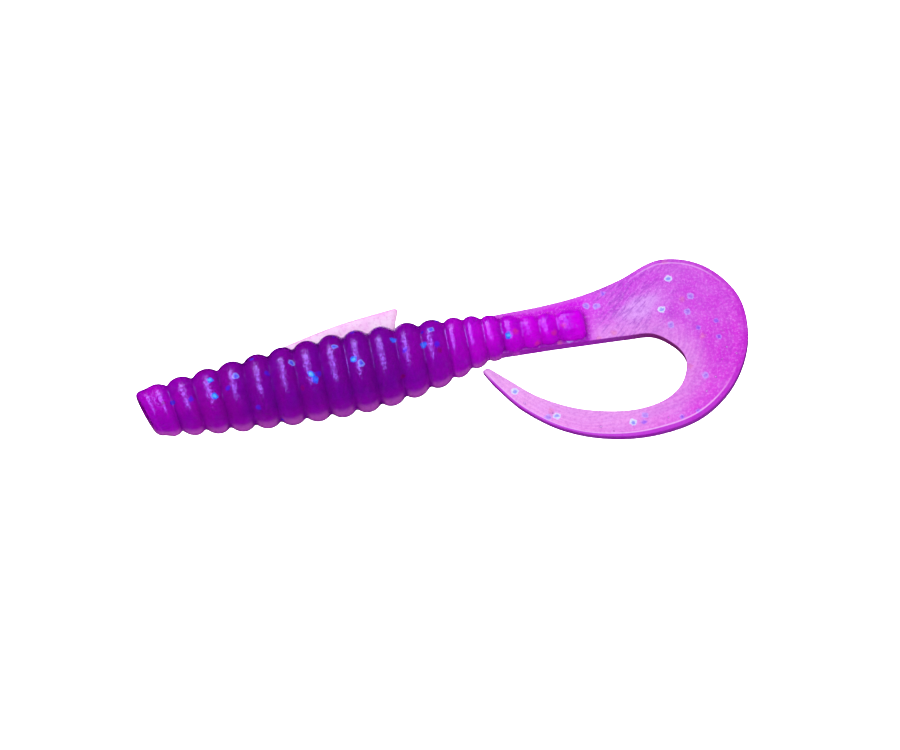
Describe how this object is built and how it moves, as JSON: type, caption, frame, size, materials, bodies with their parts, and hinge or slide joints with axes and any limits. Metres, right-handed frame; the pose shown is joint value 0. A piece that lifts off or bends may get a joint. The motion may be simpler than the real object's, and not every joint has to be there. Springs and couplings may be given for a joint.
{
  "type": "soft plastic worm",
  "caption": "Ribbed soft plastic fishing worm with a slanted flat nose, a low back fin and a thin curled tail; the body bends in its grooves and the tail flutters and uncurls.",
  "frame": {"origin": "middle of the worm's box, on the surface that its fattest ribs rest on", "axes": "+X from the nose to the tail along the body, +Y from the belly to the back in the plane of the fin and tail blade, +Z square to that plane; the worm lies on its side"},
  "size_m": [0.0748, 0.0236, 0.0103],
  "materials": {
    "bright_magenta_soft_plastic": "glossy translucent bright magenta soft vinyl with blue glitter flakes",
    "deep_purple_soft_plastic": "glossy translucent deep purple soft vinyl with blue glitter flakes",
    "pink_tail_soft_plastic": "glossy translucent pink-magenta soft vinyl with a few blue and white glitter flakes",
    "clear_pink_soft_plastic": "thin nearly clear pale pink soft vinyl with small bubbles"
  },
  "bodies": {
    "head": {"nose": "bright_magenta_soft_plastic", "rib_01": "deep_purple_soft_plastic"},
    "ribs_02_03": {"rib_02": "deep_purple_soft_plastic", "rib_03": "deep_purple_soft_plastic"},
    "ribs_04_05": {"rib_04": "deep_purple_soft_plastic", "rib_05": "deep_purple_soft_plastic"},
    "ribs_06_07": {"rib_06": "deep_purple_soft_plastic", "rib_07": "deep_purple_soft_plastic", "back_fin_front": "clear_pink_soft_plastic"},
    "ribs_08_09": {"rib_08": "deep_purple_soft_plastic", "rib_09": "deep_purple_soft_plastic", "back_fin_rear": "clear_pink_soft_plastic"},
    "ribs_10_11": {"rib_10": "deep_purple_soft_plastic", "rib_11": "bright_magenta_soft_plastic"},
    "ribs_12_13": {"rib_12": "bright_magenta_soft_plastic", "rib_13": "bright_magenta_soft_plastic"},
    "ribs_14_15": {"rib_14": "bright_magenta_soft_plastic", "rib_15": "bright_magenta_soft_plastic"},
    "ribs_16_18": {"rib_16": "bright_magenta_soft_plastic", "rib_17": "bright_magenta_soft_plastic", "rib_18": "bright_magenta_soft_plastic"},
    "tail_blade_01": {"tail_blade_01": "pink_tail_soft_plastic"},
    "tail_blade_02": {"tail_blade_02": "pink_tail_soft_plastic"},
    "tail_blade_03": {"tail_blade_03": "pink_tail_soft_plastic"},
    "tail_blade_04": {"tail_blade_04": "pink_tail_soft_plastic"},
    "tail_blade_05": {"tail_blade_05": "pink_tail_soft_plastic"},
    "tail_blade_06": {"tail_blade_06": "pink_tail_soft_plastic"},
    "tail_blade_07": {"tail_blade_07": "pink_tail_soft_plastic"},
    "tail_blade_08": {"tail_blade_08": "pink_tail_soft_plastic"},
    "tail_blade_09": {"tail_blade_09": "pink_tail_soft_plastic"},
    "tail_blade_10": {"tail_blade_10": "pink_tail_soft_plastic"},
    "tail_blade_11": {"tail_blade_11": "pink_tail_soft_plastic"},
    "tail_tip": {"tail_tip": "pink_tail_soft_plastic"}
  },
  "joints": [
    {"name": "body_sway_1", "type": "hinge", "parent": "head", "child": "ribs_02_03", "pos_m": [-0.03014, 0.00439, 0.00514], "axis": [0.0052, -1, 0], "range_deg": [-10, 10], "stiffness_Nm_per_rad": 0.00091},
    {"name": "body_arch_1", "type": "hinge", "parent": "ribs_02_03", "child": "ribs_04_05", "pos_m": [-0.02388, 0.00432, 0.00514], "axis": [0.0052, 0, 1], "range_deg": [-8, 8], "stiffness_Nm_per_rad": 0.0018},
    {"name": "body_sway_2", "type": "hinge", "parent": "ribs_04_05", "child": "ribs_06_07", "pos_m": [-0.01762, 0.00432, 0.00514], "axis": [0.0052, -1, 0], "range_deg": [-10, 10], "stiffness_Nm_per_rad": 0.0028},
    {"name": "body_arch_2", "type": "hinge", "parent": "ribs_06_07", "child": "ribs_08_09", "pos_m": [-0.01136, 0.00432, 0.00514], "axis": [0.0052, 0, 1], "range_deg": [-8, 8], "stiffness_Nm_per_rad": 0.0035},
    {"name": "body_sway_3", "type": "hinge", "parent": "ribs_08_09", "child": "ribs_10_11", "pos_m": [-0.0051, 0.00437, 0.00514], "axis": [0.0052, -1, 0], "range_deg": [-10, 10], "stiffness_Nm_per_rad": 0.0028},
    {"name": "body_arch_3", "type": "hinge", "parent": "ribs_10_11", "child": "ribs_12_13", "pos_m": [0.00103, 0.00478, 0.00514], "axis": [0.0052, 0, 1], "range_deg": [-8, 8], "stiffness_Nm_per_rad": 0.00093},
    {"name": "body_sway_4", "type": "hinge", "parent": "ribs_12_13", "child": "ribs_14_15", "pos_m": [0.00563, 0.00515, 0.00514], "axis": [0.0052, -1, 0], "range_deg": [-10, 10], "stiffness_Nm_per_rad": 0.0005},
    {"name": "body_sway_5", "type": "hinge", "parent": "ribs_14_15", "child": "ribs_16_18", "pos_m": [0.01023, 0.00482, 0.00514], "axis": [0.0052, -1, 0], "range_deg": [-10, 10], "stiffness_Nm_per_rad": 0.00027},
    {"name": "tail_flap_1", "type": "hinge", "parent": "ribs_16_18", "child": "tail_blade_01", "pos_m": [0.01843, 0.005, 0.00514], "axis": [0.0052, -1, 0], "range_deg": [-12, 12], "stiffness_Nm_per_rad": 0.000021},
    {"name": "tail_uncurl_1", "type": "hinge", "parent": "tail_blade_01", "child": "tail_blade_02", "pos_m": [0.02303, 0.00908, 0.00514], "axis": [0.0052, 0, 1], "range_deg": [0, 10], "stiffness_Nm_per_rad": 0.00078},
    {"name": "tail_flap_2", "type": "hinge", "parent": "tail_blade_02", "child": "tail_blade_03", "pos_m": [0.02708, 0.0059, 0.00514], "axis": [-0.2747, -0.9615, 0], "range_deg": [-12, 12], "stiffness_Nm_per_rad": 0.00003},
    {"name": "tail_uncurl_2", "type": "hinge", "parent": "tail_blade_03", "child": "tail_blade_04", "pos_m": [0.03353, 0.00873, 0.00514], "axis": [0.0052, 0, 1], "range_deg": [0, 8], "stiffness_Nm_per_rad": 0.0023},
    {"name": "tail_flap_3", "type": "hinge", "parent": "tail_blade_04", "child": "tail_blade_05", "pos_m": [0.03298, 0.00083, 0.00514], "axis": [-0.7674, -0.6411, 0], "range_deg": [-12, 12], "stiffness_Nm_per_rad": 0.000027},
    {"name": "tail_uncurl_3", "type": "hinge", "parent": "tail_blade_05", "child": "tail_blade_06", "pos_m": [0.03703, -0.00187, 0.00514], "axis": [0.0052, 0, 1], "range_deg": [0, 10], "stiffness_Nm_per_rad": 0.001},
    {"name": "tail_flap_4", "type": "hinge", "parent": "tail_blade_06", "child": "tail_blade_07", "pos_m": [0.03098, -0.00687, 0.00514], "axis": [-0.9884, 0.1521, 0], "range_deg": [-12, 12], "stiffness_Nm_per_rad": 0.000015},
    {"name": "tail_uncurl_4", "type": "hinge", "parent": "tail_blade_07", "child": "tail_blade_08", "pos_m": [0.02943, -0.01077, 0.00514], "axis": [0.0052, 0, 1], "range_deg": [0, 14], "stiffness_Nm_per_rad": 0.0002},
    {"name": "tail_flap_5", "type": "hinge", "parent": "tail_blade_08", "child": "tail_blade_09", "pos_m": [0.02273, -0.00997, 0.00514], "axis": [-0.3714, 0.9285, 0], "range_deg": [-12, 12], "stiffness_Nm_per_rad": 0.0000076},
    {"name": "tail_uncurl_5", "type": "hinge", "parent": "tail_blade_09", "child": "tail_blade_10", "pos_m": [0.01763, -0.01082, 0.00514], "axis": [0.0052, 0, 1], "range_deg": [0, 16], "stiffness_Nm_per_rad": 0.000053},
    {"name": "tail_flap_6", "type": "hinge", "parent": "tail_blade_10", "child": "tail_blade_11", "pos_m": [0.01343, -0.00737, 0.00514], "axis": [0.5547, 0.8321, 0], "range_deg": [-12, 12], "stiffness_Nm_per_rad": 0.000005},
    {"name": "tail_uncurl_6", "type": "hinge", "parent": "tail_blade_11", "child": "tail_tip", "pos_m": [0.00863, -0.00517, 0.00514], "axis": [0.0052, 0, 1], "range_deg": [0, 18], "stiffness_Nm_per_rad": 0.000017}
  ],
  "couplings": [
    {"joint": "body_sway_2", "follows": "body_sway_1", "ratio": 1},
    {"joint": "body_arch_2", "follows": "body_arch_1", "ratio": 1},
    {"joint": "body_sway_3", "follows": "body_sway_1", "ratio": 1},
    {"joint": "body_arch_3", "follows": "body_arch_1", "ratio": 1},
    {"joint": "body_sway_4", "follows": "body_sway_1", "ratio": 1},
    {"joint": "body_sway_5", "follows": "body_sway_1", "ratio": 1},
    {"joint": "tail_flap_2", "follows": "tail_flap_1", "ratio": 1},
    {"joint": "tail_uncurl_2", "follows": "tail_uncurl_1", "ratio": 0.8},
    {"joint": "tail_flap_3", "follows": "tail_flap_1", "ratio": 1},
    {"joint": "tail_uncurl_3", "follows": "tail_uncurl_1", "ratio": 1},
    {"joint": "tail_flap_4", "follows": "tail_flap_1", "ratio": 1},
    {"joint": "tail_uncurl_4", "follows": "tail_uncurl_1", "ratio": 1.4},
    {"joint": "tail_flap_5", "follows": "tail_flap_1", "ratio": 1},
    {"joint": "tail_uncurl_5", "follows": "tail_uncurl_1", "ratio": 1.6},
    {"joint": "tail_flap_6", "follows": "tail_flap_1", "ratio": 1},
    {"joint": "tail_uncurl_6", "follows": "tail_uncurl_1", "ratio": 1.8}
  ]
}
